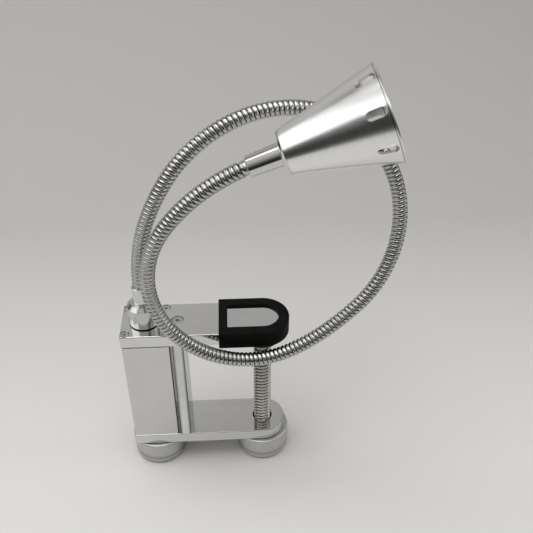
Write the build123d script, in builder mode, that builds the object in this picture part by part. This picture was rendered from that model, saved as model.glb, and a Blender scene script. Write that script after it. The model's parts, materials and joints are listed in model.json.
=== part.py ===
from build123d import *
import math
import os

os.makedirs("parts", exist_ok=True)

# Clip-on reading lamp: a screw clamp with a battery box, a gooseneck and a conical LED head.
# Frame, in mm: the origin is the centre of the upper jaw's gripping face, on the clamp screw's axis.
# +X runs from the battery box to the round end of the jaws, +Y to the back and +Z up.

# ------------------------------------------------------------------ driving dimensions
# clamp frame
JAW_OPENING = 70.0        # gripping face to lower plate, with the screw run down
PLATE_WIDTH = 26.0        # both jaw plates, along Y
PLATE_THICK = 7.2
SCREW_REACH = 62.5        # clamp screw axis to battery box axis
COLLAR_SHIFT = 0.5        # gooseneck's collar beyond the box axis
PLATE_OVERHANG = 12.7     # plates beyond the box axis, at their square ends
EDGE_ROUND = 0.5          # eased edges of the plates
SPINE_THICK = 6.0
SPINE_ROUND = 1.2
BOX_GAP = 1.3             # shadow gap between battery box and spine
BOX_WIDTH = 25.4          # along X
BOX_DEPTH = 25.2          # along Y
BOX_WALL = 1.6
BOX_ROUND = 1.2
GASKET_THICK = 0.9
GASKET_INSET = 0.6

# rubber cap on the jaw's round end
CAP_WALL = 1.6
CAP_GRIP = 1.2            # under the jaw
CAP_LIP = 1.4             # over the jaw
CAP_LENGTH = 23.5         # from the screw axis towards the spine
CAP_ROUND = 0.7
WINDOW_HALF = 9.0
WINDOW_LENGTH = 18.8

# fasteners: radius of head, shank and hex socket, then lengths
BOX_SCREW_HEAD_R = 2.2
BOX_SCREW_R = 1.25
BOX_SCREW_LENGTH = 14.0
BOX_SCREW_SOCKET_R = 0.95
BOX_SCREW_PITCH = 20.6    # side of the square that the four screws stand on
SPINE_SCREW_HEAD_R = 2.8
SPINE_SCREW_R = 1.5
SPINE_SCREW_LENGTH = 18.0
SPINE_SCREW_SOCKET_R = 1.5
SOCKET_DEPTH = 1.0
SCREW_SINK = 0.5          # screw heads below their plate's face
TAP_SPARE = 1.0           # tapped hole past the screw's end
HOLE_CLEARANCE = 0.15     # radial, around a screw's shank
FIT_CLEARANCE = 0.03      # radial, between pieces that stay put
RUN_CLEARANCE = 0.05      # radial, between pieces that turn in each other
PART_CLEARANCE = 0.35     # between moving pieces that don't touch

# clamp screw, pressure pad, knob and foot
SCREW_R = 5.0
SCREW_MOUTH = 0.8         # countersink at the screw's hole
BALL_R = 3.4
BALL_NECK_R = 2.3
PAD_R = 9.6
PAD_HEIGHT = 6.0
PAD_FACE_R = 8.8
PAD_FACE_THICK = 1.5
PAD_RIM = 0.6             # pad's rim round the face
KNOB_R = 15.6
KNOB_HEIGHT = 17.2        # lower plate's underside to the ground
KNOB_TOP_ROUND = 1.0
KNOB_FOOT_ROUND = 3.6
KNOB_STEP_HEIGHT = 6.0    # above the ground: a fine step where the wall meets the foot ring
KNOB_STEP = 0.25
KNOB_FLOOR = 4.0          # knob's solid bottom under the screw
GRUB_R = 2.0
GRUB_LENGTH = 5.0
GRUB_SOCKET_R = 1.0

# battery box contents
PORT_SPARE = 0.85         # battery port beyond the sleeve's bore
BOSS_SHORT = 0.2          # foot cap's boss below the lower plate's upper face
CELL_R = 9.2
CELL_LENGTH = 65.0
CELL_BUTTON_R = 3.0
CELL_BUTTON_RISE = 0.8
SLEEVE_WALL = 0.9
SLEEVE_CLEARANCE = 0.25
SLEEVE_SHORT = 0.4        # sleeve stops this far from the plates
BOARD_R = 8.6
BOARD_THICK = 1.2
BOARD_DROP = 0.3          # below the upper plate
CHIP_SIZE = 3.6
CHIP_THICK = 0.9
CONTACT_R = 2.6
CONTACT_THICK = 1.0
LEAF_WIDTH = 6.0
LEAF_THICK = 0.4
SEAL_RING_R = 11.9
SEAL_R = 0.8
SEAL_PROUD = 0.1          # seal above the foot's top face

# collar and base ferrule
COLLAR_R = 8.1
COLLAR_HEIGHT = 11.0
COLLAR_SHOULDER = 2.0
COLLAR_SPIGOT_R = 6.0
COLLAR_SPIGOT = 5.5
RING_R = 7.7
RING_THICK = 0.7
FERRULE_WALL = 0.75       # around the gooseneck
FERRULE_PROUD = 10.5      # above the collar, where the gooseneck leaves it
FERRULE_FLOOR = 1.4       # collar's floor under the ferrule
FERRULE_EDGE = 0.3        # eased mouth
NECK_SOCKET = 9.0         # gooseneck's end inside the ferrule
WIRE_WAY_R = 2.5

# gooseneck: each stretch is an arc of (bend radius, turn in degrees), turning towards +X
NECK_R = 3.75
NECK_BORE_R = 2.1
NECK_BENDS = [(111, 33.5), (67, 56), (57.5, 70.5), (59, 69), (111, 23), (49, 65), (54, 79.5), (94, 29)]
NECK_SIDE = [0, 0, 10.5, 7.5, -9, -19.2, -21.5, -21.5, -21.5]  # Y at the ends of the stretches
NECK_STEP = 0.01          # for the heading at a point of it
DOME_INSET = 0.35         # ball end of a stretch, inside its tube's radius
DOME_CLEARANCE = 0.3
JOINT_GAP = 1.3           # tube end to joint centre
WIRE_R = 0.7
WIRE_PITCH = 1.7
WIRE_END = 0.7            # wires stop this far inside a joint's ball

# head
HEAD_TILT = 22.0          # above the horizontal
HEAD_FERRULE_WALL = 1.15  # around the gooseneck
HEAD_FERRULE_FLARE = 0.4  # wider at the shade
HEAD_BACK = 17.0          # joint centre to the shade's back
STUD_R = 3.5
NUT_R = 6.0
NUT_THICK = 2.6
STUD_PROUD = 1.0          # stud past the nut
SHADE_LENGTH = 47.0
SHADE_BACK_R = 9.9
SHADE_MOUTH_R = 21.5
SHADE_WALL = 1.2
SHADE_BACK_WALL = 2.0
SHADE_BACK_ROUND = 1.4
SHADE_LIP_R = 0.5
SLOT_COUNT = 8
SLOT_LENGTH = 8.4
SLOT_WIDTH = 4.0
SLOT_CENTRE = 41.0        # from the shade's back, along its axis
SLOT_PHASE = 13.5         # first slot's angle from the shade's top, towards the front
SINK_BACK = 6.5           # all from the shade's back
SINK_THICK = 7.0
SINK_FIN_GAP = 0.9
LED_BOARD_R = 9.0
LED_BOARD_THICK = 1.4
LED_NOTCHES = 6
LED_NOTCH_R = 1.5
EMITTER_SIZE = 5.0
EMITTER_THICK = 0.8
EMITTER_DOME_R = 2.1
REFLECTOR_LENGTH = 15.0
REFLECTOR_WALL = 0.9
REFLECTOR_SPARE = 0.2     # around the emitter's corners
LENS_THICK = 1.8
LENS_RING_WIDTH = 1.6
LENS_RING_THICK = 2.0

# ------------------------------------------------------------------ places worked out from them
JAW_UNDER = CAP_GRIP
JAW_TOP = JAW_UNDER + PLATE_THICK
LOWER_TOP = -JAW_OPENING
LOWER_UNDER = LOWER_TOP - PLATE_THICK
GROUND = LOWER_UNDER - KNOB_HEIGHT
PLATE_GAP = JAW_UNDER - LOWER_TOP
BOX_X = -SCREW_REACH
COLLAR_X = BOX_X - COLLAR_SHIFT
PLATE_END_X = BOX_X - PLATE_OVERHANG
SPINE_LEFT = BOX_X + BOX_WIDTH / 2 + BOX_GAP
SPINE_X = SPINE_LEFT + SPINE_THICK / 2
BOX_TOP = JAW_UNDER - GASKET_THICK
BOX_HEIGHT = BOX_TOP - LOWER_TOP
BOX_SCREW_SPOTS = [
    (BOX_X + along * BOX_SCREW_PITCH / 2, across * BOX_SCREW_PITCH / 2)
    for along in (-1, 1)
    for across in (-1, 1)
]
BOX_SINK_R = BOX_SCREW_HEAD_R + SCREW_SINK + FIT_CLEARANCE
SPINE_SINK_R = SPINE_SCREW_HEAD_R + SCREW_SINK + FIT_CLEARANCE
SLEEVE_BORE_R = CELL_R + SLEEVE_CLEARANCE
SLEEVE_R = SLEEVE_BORE_R + SLEEVE_WALL
PORT_R = SLEEVE_BORE_R + PORT_SPARE
BOARD_TOP = JAW_UNDER - BOARD_DROP
BOARD_UNDER = BOARD_TOP - BOARD_THICK
CELL_TOP = BOARD_UNDER - CONTACT_THICK
PAD_TOP = -PART_CLEARANCE
BALL_Z = PAD_TOP - PAD_FACE_THICK - BALL_R - RUN_CLEARANCE
RING_TOP = JAW_TOP + RING_THICK
COLLAR_TOP = RING_TOP + COLLAR_HEIGHT + COLLAR_SHOULDER
FERRULE_R = NECK_R + FERRULE_WALL
FERRULE_SEAT = RING_TOP + FERRULE_FLOOR
FERRULE_TOP = COLLAR_TOP + FERRULE_PROUD
DOME_R = NECK_R - DOME_INSET
HEAD_FERRULE_R = NECK_R + HEAD_FERRULE_WALL
HEAD_FERRULE_MOUTH_R = HEAD_FERRULE_R + HEAD_FERRULE_FLARE
QUARTER_MIDDLE = 1 - math.sqrt(0.5)   # a quarter circle's middle, from the corner it eases
FULL_TURN = 360


# ------------------------------------------------------------------ shared shapes
def flat_screw(head_r, shank_r, length, socket_r):
    """Countersunk screw: its head's top is at the origin and it points down."""
    with BuildPart() as screw:
        with BuildSketch(Plane.XZ):
            with BuildLine():
                Polyline(
                    (0, 0),
                    (head_r, 0),
                    (shank_r, shank_r - head_r),
                    (shank_r, -length),
                    (0, -length),
                    close=True,
                )
            make_face()
        revolve(axis=Axis.Z)
        with BuildSketch():
            RegularPolygon(socket_r, 6)
        extrude(amount=-SOCKET_DEPTH, mode=Mode.SUBTRACT)
    return screw.part


def grub_screw(radius, length, socket_r):
    """Headless screw along +X from the origin, its socket at the far end."""
    with BuildPart() as grub:
        with BuildSketch(Plane.YZ):
            Circle(radius)
        extrude(amount=length)
        with BuildSketch(Plane.YZ.offset(length)):
            RegularPolygon(socket_r, 6)
        extrude(amount=-SOCKET_DEPTH, mode=Mode.SUBTRACT)
    return grub.part


def plate_outline():
    """A jaw plate seen from above: square at the box and round at the screw."""
    with Locations((PLATE_END_X, 0)):
        Rectangle(-PLATE_END_X, PLATE_WIDTH, align=(Align.MIN, Align.CENTER))
    Circle(PLATE_WIDTH / 2)


def half_section(points):
    """Closed half section of a turned piece, from its corners."""
    with BuildSketch() as section:
        with BuildLine():
            Polyline(*points, close=True)
        make_face()
    return section.sketch


def puck_section(top_z):
    """Half section of a knob or foot, from its axis outwards, standing on the ground."""
    step = GROUND + KNOB_STEP_HEIGHT
    foot_r = KNOB_R - KNOB_STEP
    with BuildSketch() as section:
        with BuildLine():
            Polyline((0, top_z), (0, GROUND), (foot_r - KNOB_FOOT_ROUND, GROUND))
            RadiusArc(
                (foot_r - KNOB_FOOT_ROUND, GROUND), (foot_r, GROUND + KNOB_FOOT_ROUND), -KNOB_FOOT_ROUND
            )
            Polyline(
                (foot_r, GROUND + KNOB_FOOT_ROUND),
                (foot_r, step),
                (KNOB_R, step + KNOB_STEP),
                (KNOB_R, top_z - KNOB_TOP_ROUND),
            )
            RadiusArc((KNOB_R, top_z - KNOB_TOP_ROUND), (KNOB_R - KNOB_TOP_ROUND, top_z), -KNOB_TOP_ROUND)
            Line((KNOB_R - KNOB_TOP_ROUND, top_z), (0, top_z))
        make_face()
    return section.sketch


# ------------------------------------------------------------------ clamp frame
with BuildPart() as top_plate:
    with BuildSketch(Plane.XY.offset(JAW_UNDER)):
        plate_outline()
    extrude(amount=PLATE_THICK)
    fillet(top_plate.faces().sort_by(Axis.Z)[-1].edges(), EDGE_ROUND)
    with Locations(*[(x, y, JAW_TOP) for x, y in BOX_SCREW_SPOTS]):
        CounterSinkHole(BOX_SCREW_R + HOLE_CLEARANCE, BOX_SINK_R, counter_sink_angle=90)
    with Locations((SPINE_X, 0, JAW_TOP)):
        CounterSinkHole(SPINE_SCREW_R + HOLE_CLEARANCE, SPINE_SINK_R, counter_sink_angle=90)
    with Locations((COLLAR_X, 0, JAW_TOP)):
        Hole(COLLAR_SPIGOT_R + FIT_CLEARANCE)
top_plate.part.label = "top_plate"
export_step(top_plate.part, "parts/top_plate.step")

with BuildPart() as lower_plate:
    with BuildSketch(Plane.XY.offset(LOWER_UNDER)):
        plate_outline()
    extrude(amount=PLATE_THICK)
    fillet(lower_plate.faces().sort_by(Axis.Z)[-1].edges(), EDGE_ROUND)
    fillet(lower_plate.faces().sort_by(Axis.Z)[0].edges(), EDGE_ROUND)
    with Locations((0, 0, LOWER_TOP)):
        CounterSinkHole(SCREW_R + RUN_CLEARANCE, SCREW_R + SCREW_MOUTH, counter_sink_angle=90)
    with Locations((BOX_X, 0, LOWER_TOP)):
        Hole(PORT_R)
    with Locations(*[Location((x, y, LOWER_UNDER), (180, 0, 0)) for x, y in BOX_SCREW_SPOTS]):
        CounterSinkHole(BOX_SCREW_R + HOLE_CLEARANCE, BOX_SINK_R, counter_sink_angle=90)
    with Locations(Location((SPINE_X, 0, LOWER_UNDER), (180, 0, 0))):
        CounterSinkHole(SPINE_SCREW_R + HOLE_CLEARANCE, SPINE_SINK_R, counter_sink_angle=90)
lower_plate.part.label = "lower_plate"
export_step(lower_plate.part, "parts/lower_plate.step")

with BuildPart() as spine:
    with BuildSketch(Plane.XY.offset(LOWER_TOP)):
        with Locations((SPINE_X, 0)):
            RectangleRounded(SPINE_THICK, PLATE_WIDTH, SPINE_ROUND)
    extrude(amount=PLATE_GAP)
    spine_tap = SCREW_SINK + SPINE_SCREW_LENGTH - PLATE_THICK + TAP_SPARE
    with Locations((SPINE_X, 0, JAW_UNDER)):
        Hole(SPINE_SCREW_R + FIT_CLEARANCE, depth=spine_tap)
    with Locations(Location((SPINE_X, 0, LOWER_TOP), (180, 0, 0))):
        Hole(SPINE_SCREW_R + FIT_CLEARANCE, depth=spine_tap)
spine.part.label = "spine"
export_step(spine.part, "parts/spine.step")

# the battery box is a tube with a screw post in each inside corner
box_tap = SCREW_SINK + BOX_SCREW_LENGTH - PLATE_THICK + TAP_SPARE
with BuildPart() as battery_box:
    with BuildSketch(Plane.XY.offset(LOWER_TOP)) as box_section:
        with Locations((BOX_X, 0)):
            RectangleRounded(BOX_WIDTH, BOX_DEPTH, BOX_ROUND)
            Circle(SLEEVE_R + FIT_CLEARANCE, mode=Mode.SUBTRACT)
        for side in (-1, 1):
            # room left between the posts on each flat side
            with Locations((BOX_X + side * SLEEVE_R / 2, 0)):
                Rectangle(
                    BOX_WIDTH - 2 * BOX_WALL - SLEEVE_R, BOX_SCREW_PITCH / 2, mode=Mode.SUBTRACT
                )
            with Locations((BOX_X, side * SLEEVE_R / 2)):
                Rectangle(
                    BOX_SCREW_PITCH / 2, BOX_DEPTH - 2 * BOX_WALL - SLEEVE_R, mode=Mode.SUBTRACT
                )
    extrude(amount=BOX_HEIGHT)
    with Locations(*[(x, y, BOX_TOP) for x, y in BOX_SCREW_SPOTS]):
        Hole(BOX_SCREW_R + FIT_CLEARANCE, depth=box_tap)
    with Locations(*[Location((x, y, LOWER_TOP), (180, 0, 0)) for x, y in BOX_SCREW_SPOTS]):
        Hole(BOX_SCREW_R + FIT_CLEARANCE, depth=box_tap)
battery_box.part.label = "battery_box"
export_step(battery_box.part, "parts/battery_box.step")

with BuildPart() as box_gasket:
    with BuildSketch(Plane.XY.offset(BOX_TOP)):
        with Locations((BOX_X, 0)):
            RectangleRounded(
                BOX_WIDTH - 2 * GASKET_INSET, BOX_DEPTH - 2 * GASKET_INSET, BOX_ROUND - GASKET_INSET
            )
            Circle(SLEEVE_R + FIT_CLEARANCE, mode=Mode.SUBTRACT)
        with Locations(*BOX_SCREW_SPOTS):
            Circle(BOX_SCREW_R + HOLE_CLEARANCE, mode=Mode.SUBTRACT)
    extrude(amount=GASKET_THICK)
box_gasket.part.label = "box_gasket"
export_step(box_gasket.part, "parts/box_gasket.step")

box_screw = flat_screw(BOX_SCREW_HEAD_R, BOX_SCREW_R, BOX_SCREW_LENGTH, BOX_SCREW_SOCKET_R)
with BuildPart() as box_screws:
    with Locations(*[Location((x, y, JAW_TOP - SCREW_SINK)) for x, y in BOX_SCREW_SPOTS]):
        add(box_screw)
    with Locations(*[Location((x, y, LOWER_UNDER + SCREW_SINK), (180, 0, 0)) for x, y in BOX_SCREW_SPOTS]):
        add(box_screw)
box_screws.part.label = "box_screws"
export_step(box_screws.part, "parts/box_screws.step")

spine_screw = flat_screw(SPINE_SCREW_HEAD_R, SPINE_SCREW_R, SPINE_SCREW_LENGTH, SPINE_SCREW_SOCKET_R)
with BuildPart() as spine_screws:
    with Locations(Location((SPINE_X, 0, JAW_TOP - SCREW_SINK))):
        add(spine_screw)
    with Locations(Location((SPINE_X, 0, LOWER_UNDER + SCREW_SINK), (180, 0, 0))):
        add(spine_screw)
spine_screws.part.label = "spine_screws"
export_step(spine_screws.part, "parts/spine_screws.step")


# ------------------------------------------------------------------ rubber cap on the jaw
def cap_outline(margin):
    """The jaw's round end seen from above, with a margin all round it."""
    half = PLATE_WIDTH / 2 + margin
    with Locations((-CAP_LENGTH, 0)):
        Rectangle(CAP_LENGTH, 2 * half, align=(Align.MIN, Align.CENTER))
    Circle(half)


with BuildPart() as jaw_cap:
    with BuildSketch(Plane.XY):
        cap_outline(CAP_WALL)
    extrude(amount=JAW_TOP + CAP_LIP)
    fillet(jaw_cap.faces().sort_by(Axis.Z)[-1].edges(), CAP_ROUND)
    with BuildSketch(Plane.XY.offset(JAW_UNDER)):
        cap_outline(0)
    extrude(amount=PLATE_THICK, mode=Mode.SUBTRACT)
    with BuildSketch(Plane.XY.offset(JAW_TOP)):
        with Locations((-WINDOW_LENGTH, 0)):
            Rectangle(WINDOW_LENGTH, 2 * WINDOW_HALF, align=(Align.MIN, Align.CENTER))
        Circle(WINDOW_HALF)
    extrude(amount=CAP_LIP, mode=Mode.SUBTRACT)
jaw_cap.part.label = "jaw_cap"
export_step(jaw_cap.part, "parts/jaw_cap.step")

# ------------------------------------------------------------------ pressure pad, clamp screw and knob
pad_under = PAD_TOP - PAD_HEIGHT
with BuildPart() as pressure_pad:
    with BuildSketch(Plane.XY.offset(pad_under)):
        Circle(PAD_R)
    extrude(amount=PAD_HEIGHT - PAD_FACE_THICK + PAD_RIM)
    fillet(pressure_pad.faces().sort_by(Axis.Z)[0].edges(), EDGE_ROUND)
    with BuildSketch(Plane.XY.offset(PAD_TOP - PAD_FACE_THICK)):
        Circle(PAD_FACE_R + FIT_CLEARANCE)
    extrude(amount=PAD_FACE_THICK, mode=Mode.SUBTRACT)
    with Locations((0, 0, BALL_Z)):
        Sphere(BALL_R + RUN_CLEARANCE, mode=Mode.SUBTRACT)
    with BuildSketch(Plane.XY.offset(pad_under)):
        Circle(BALL_NECK_R + PART_CLEARANCE)
    extrude(amount=BALL_Z - pad_under, mode=Mode.SUBTRACT)
pressure_pad.part.label = "pressure_pad"
export_step(pressure_pad.part, "parts/pressure_pad.step")

with BuildPart() as pad_face:
    with BuildSketch(Plane.XY.offset(PAD_TOP - PAD_FACE_THICK)):
        Circle(PAD_FACE_R)
    extrude(amount=PAD_FACE_THICK)
    fillet(pad_face.faces().sort_by(Axis.Z)[-1].edges(), EDGE_ROUND)
pad_face.part.label = "pad_face"
export_step(pad_face.part, "parts/pad_face.step")

rod_top = pad_under - PART_CLEARANCE
rod_foot = GROUND + KNOB_FLOOR
knob_top = LOWER_UNDER - PART_CLEARANCE
with BuildPart() as clamp_screw:
    with BuildSketch(Plane.XY.offset(rod_foot)):
        Circle(SCREW_R)
    extrude(amount=rod_top - rod_foot)
    chamfer(clamp_screw.edges().sort_by(Axis.Z)[-1], SCREW_MOUTH)
    with BuildSketch(Plane.XY.offset(rod_foot)):
        Circle(BALL_NECK_R)
    extrude(amount=BALL_Z - rod_foot)
    with Locations((0, 0, BALL_Z)):
        Sphere(BALL_R)
clamp_screw.part.label = "clamp_screw"
export_step(clamp_screw.part, "parts/clamp_screw.step")

grub_height = (knob_top + GROUND + KNOB_STEP_HEIGHT) / 2
with BuildPart() as knob:
    with BuildSketch(Plane.XZ):
        add(puck_section(knob_top))
    revolve(axis=Axis.Z)
    with BuildSketch(Plane.XY.offset(rod_foot)):
        Circle(SCREW_R + FIT_CLEARANCE)
    extrude(amount=knob_top - rod_foot, mode=Mode.SUBTRACT)
    with BuildSketch(Plane.YZ):
        with Locations((0, grub_height)):
            Circle(GRUB_R + FIT_CLEARANCE)
    extrude(amount=KNOB_R, mode=Mode.SUBTRACT)
knob.part.label = "knob"
export_step(knob.part, "parts/knob.step")

with BuildPart() as knob_grub_screw:
    with Locations((SCREW_R + FIT_CLEARANCE, 0, grub_height)):
        add(grub_screw(GRUB_R, GRUB_LENGTH, GRUB_SOCKET_R))
knob_grub_screw.part.label = "knob_grub_screw"
export_step(knob_grub_screw.part, "parts/knob_grub_screw.step")

# ------------------------------------------------------------------ foot, which is the battery cap and switch
boss_top = LOWER_TOP - BOSS_SHORT
leaf_top = CELL_TOP - CELL_LENGTH - PART_CLEARANCE
seal_z = knob_top + SEAL_PROUD - SEAL_R
with BuildPart() as foot_cap:
    with BuildSketch(Plane.XZ):
        add(puck_section(knob_top))
    revolve(axis=Axis.Z)
    with BuildSketch(Plane.XY.offset(GROUND + KNOB_FLOOR)):
        Circle(PORT_R - RUN_CLEARANCE)
    extrude(amount=boss_top - GROUND - KNOB_FLOOR)
    with Locations((0, 0, seal_z)):
        Torus(SEAL_RING_R, SEAL_R, mode=Mode.SUBTRACT)
foot_cap_placed = foot_cap.part.moved(Location((BOX_X, 0, 0)))
foot_cap_placed.label = "foot_cap"
export_step(foot_cap_placed, "parts/foot_cap.step")

with BuildPart() as foot_seal:
    with Locations((BOX_X, 0, seal_z)):
        Torus(SEAL_RING_R, SEAL_R)
foot_seal.part.label = "foot_seal"
export_step(foot_seal.part, "parts/foot_seal.step")

# a bent brass strip that presses on the cell's negative end
with BuildPart() as foot_contact:
    with BuildSketch(Plane.XZ.offset(-LEAF_WIDTH / 2)):
        with BuildLine():
            Polyline(
                (BOX_X - LEAF_WIDTH, boss_top),
                (BOX_X + LEAF_WIDTH, boss_top),
                (BOX_X + LEAF_WIDTH, boss_top + LEAF_THICK),
                (BOX_X - LEAF_WIDTH / 2, boss_top + LEAF_THICK),
                (BOX_X + LEAF_WIDTH / 2, leaf_top - LEAF_THICK),
                (BOX_X + LEAF_WIDTH / 2, leaf_top),
                (BOX_X - LEAF_WIDTH / 6, leaf_top),
                (BOX_X - LEAF_WIDTH, boss_top + LEAF_THICK),
                close=True,
            )
        make_face()
    extrude(amount=LEAF_WIDTH)
foot_contact.part.label = "foot_contact"
export_step(foot_contact.part, "parts/foot_contact.step")

# ------------------------------------------------------------------ battery and driver
with BuildPart() as cell_sleeve:
    with BuildSketch(Plane.XY.offset(LOWER_TOP + SLEEVE_SHORT)):
        with Locations((BOX_X, 0)):
            Circle(SLEEVE_R)
            Circle(SLEEVE_BORE_R, mode=Mode.SUBTRACT)
    extrude(amount=PLATE_GAP - 2 * SLEEVE_SHORT)
cell_sleeve.part.label = "cell_sleeve"
export_step(cell_sleeve.part, "parts/cell_sleeve.step")

with BuildPart() as battery_cell:
    with BuildSketch(Plane.XY.offset(CELL_TOP - CELL_LENGTH)):
        with Locations((BOX_X, 0)):
            Circle(CELL_R)
    extrude(amount=CELL_LENGTH - CELL_BUTTON_RISE)
    fillet(battery_cell.edges().filter_by(GeomType.CIRCLE), EDGE_ROUND)
    with BuildSketch(Plane.XY.offset(CELL_TOP - CELL_BUTTON_RISE)):
        with Locations((BOX_X, 0)):
            Circle(CELL_BUTTON_R)
    extrude(amount=CELL_BUTTON_RISE)
battery_cell.part.label = "battery_cell"
export_step(battery_cell.part, "parts/battery_cell.step")

with BuildPart() as positive_contact:
    with BuildSketch(Plane.XY.offset(CELL_TOP)):
        with Locations((BOX_X, 0)):
            Circle(CONTACT_R)
    extrude(amount=CONTACT_THICK)
positive_contact.part.label = "positive_contact"
export_step(positive_contact.part, "parts/positive_contact.step")

with BuildPart() as driver_board:
    with BuildSketch(Plane.XY.offset(BOARD_UNDER)):
        with Locations((BOX_X, 0)):
            Circle(BOARD_R)
        with Locations(*[(COLLAR_X, side * WIRE_PITCH / 2) for side in (-1, 1)]):
            Circle(WIRE_R + FIT_CLEARANCE, mode=Mode.SUBTRACT)
    extrude(amount=BOARD_THICK)
driver_board.part.label = "driver_board"
export_step(driver_board.part, "parts/driver_board.step")

with BuildPart() as driver_chip:
    with BuildSketch(Plane.XY.offset(BOARD_UNDER)):
        with Locations((BOX_X + BOARD_R / 2 + CHIP_THICK / 2, 0)):
            Rectangle(CHIP_SIZE, CHIP_SIZE)
    extrude(amount=-CHIP_THICK)
driver_chip.part.label = "driver_chip"
export_step(driver_chip.part, "parts/driver_chip.step")

# ------------------------------------------------------------------ collar and base ferrule
collar_face = RING_TOP + COLLAR_HEIGHT
with BuildPart() as neck_collar:
    with BuildSketch(Plane.XZ):
        with BuildLine():
            Polyline(
                (WIRE_WAY_R, JAW_TOP - COLLAR_SPIGOT),
                (COLLAR_SPIGOT_R, JAW_TOP - COLLAR_SPIGOT),
                (COLLAR_SPIGOT_R, RING_TOP),
                (COLLAR_R, RING_TOP),
                (COLLAR_R, collar_face),
                (COLLAR_R - COLLAR_SHOULDER, COLLAR_TOP),
                (FERRULE_R + FIT_CLEARANCE, COLLAR_TOP),
                (FERRULE_R + FIT_CLEARANCE, FERRULE_SEAT),
                (WIRE_WAY_R, FERRULE_SEAT),
                close=True,
            )
        make_face()
    revolve(axis=Axis.Z)
    with BuildSketch(Plane.XZ):
        with Locations((0, RING_TOP + COLLAR_HEIGHT / 2)):
            Circle(GRUB_R + FIT_CLEARANCE)
    extrude(amount=-COLLAR_R, mode=Mode.SUBTRACT)
neck_collar_placed = neck_collar.part.moved(Location((COLLAR_X, 0, 0)))
neck_collar_placed.label = "neck_collar"
export_step(neck_collar_placed, "parts/neck_collar.step")

with BuildPart() as collar_ring:
    with BuildSketch(Plane.XY.offset(JAW_TOP)):
        with Locations((COLLAR_X, 0)):
            Circle(RING_R)
            Circle(COLLAR_SPIGOT_R + FIT_CLEARANCE, mode=Mode.SUBTRACT)
    extrude(amount=RING_THICK)
collar_ring.part.label = "collar_ring"
export_step(collar_ring.part, "parts/collar_ring.step")

collar_grub_length = COLLAR_R - FERRULE_R - FIT_CLEARANCE - EDGE_ROUND
collar_grub_spot = (COLLAR_X, FERRULE_R + FIT_CLEARANCE, RING_TOP + COLLAR_HEIGHT / 2)
with BuildPart() as collar_grub_screw:
    with Locations(Location(collar_grub_spot, (0, 0, 90))):
        add(grub_screw(GRUB_R, collar_grub_length, GRUB_SOCKET_R))
collar_grub_screw.part.label = "collar_grub_screw"
export_step(collar_grub_screw.part, "parts/collar_grub_screw.step")

socket_floor = FERRULE_TOP - NECK_SOCKET
with BuildPart() as base_ferrule:
    with BuildSketch(Plane.XY.offset(FERRULE_SEAT)):
        with Locations((COLLAR_X, 0)):
            Circle(FERRULE_R)
            Circle(WIRE_WAY_R, mode=Mode.SUBTRACT)
    extrude(amount=FERRULE_TOP - FERRULE_SEAT)
    with BuildSketch(Plane.XY.offset(socket_floor)):
        with Locations((COLLAR_X, 0)):
            Circle(NECK_R + FIT_CLEARANCE)
    extrude(amount=NECK_SOCKET, mode=Mode.SUBTRACT)
    chamfer(base_ferrule.faces().sort_by(Axis.Z)[-1].edges().sort_by(SortBy.LENGTH)[-1], FERRULE_EDGE)
base_ferrule.part.label = "base_ferrule"
export_step(base_ferrule.part, "parts/base_ferrule.step")

with BuildPart() as base_wires:
    with BuildSketch(Plane.XY.offset(BOARD_UNDER)):
        with Locations(*[(COLLAR_X, side * WIRE_PITCH / 2) for side in (-1, 1)]):
            Circle(WIRE_R)
    extrude(amount=socket_floor - BOARD_UNDER)
base_wires.part.label = "base_wires"
export_step(base_wires.part, "parts/base_wires.step")


# ------------------------------------------------------------------ gooseneck
def neck_stretches():
    """Start X, start Z, heading, bend radius and length of each stretch, worked out in turn."""
    x, z, heading = COLLAR_X, FERRULE_TOP, math.radians(90)
    stretches = []
    for radius, turn in NECK_BENDS:
        angle = math.radians(turn)
        stretches.append((x, z, heading, radius, radius * angle))
        x += radius * (math.sin(heading) - math.sin(heading - angle))
        z += radius * (math.cos(heading - angle) - math.cos(heading))
        heading -= angle
    return stretches


STRETCHES = neck_stretches()


def neck_point(index, along):
    """A point on a stretch's centreline, and on its circle past either end."""
    x, z, heading, radius, length = STRETCHES[index]
    angle = along / radius
    side = NECK_SIDE[index] + (NECK_SIDE[index + 1] - NECK_SIDE[index]) * along / length
    return Vector(
        x + radius * (math.sin(heading) - math.sin(heading - angle)),
        side,
        z + radius * (math.cos(heading - angle) - math.cos(heading)),
    )


def neck_heading(index, along):
    """Unit vector along the gooseneck at this point."""
    return (neck_point(index, along + NECK_STEP) - neck_point(index, along - NECK_STEP)).normalized()


def bent_rod(index, first, last, radius, offset=0):
    """Round rod bent along a stretch, between two distances along it, shifted sideways by an offset."""
    with BuildPart() as rod:
        with BuildLine() as route:
            bend = ThreePointArc(
                neck_point(index, first), neck_point(index, (first + last) / 2), neck_point(index, last)
            )
        with BuildSketch(Plane(origin=bend @ 0, x_dir=(0, 1, 0), z_dir=bend % 0)):
            with Locations((offset, 0)):
                Circle(radius)
        turn = math.degrees(bend.length / bend.radius)
        revolve(axis=Axis(bend.arc_center, bend.normal()), revolution_arc=turn)
    return rod.part


def ball_place(index, along):
    """Place of a joint's ball, its poles on the centreline and its seam clear of the rod's."""
    across = Vector(0, 1, 0) + neck_heading(index, along).cross(Vector(0, 1, 0))
    return Plane(origin=neck_point(index, along), x_dir=across, z_dir=neck_heading(index, along)).location


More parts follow.
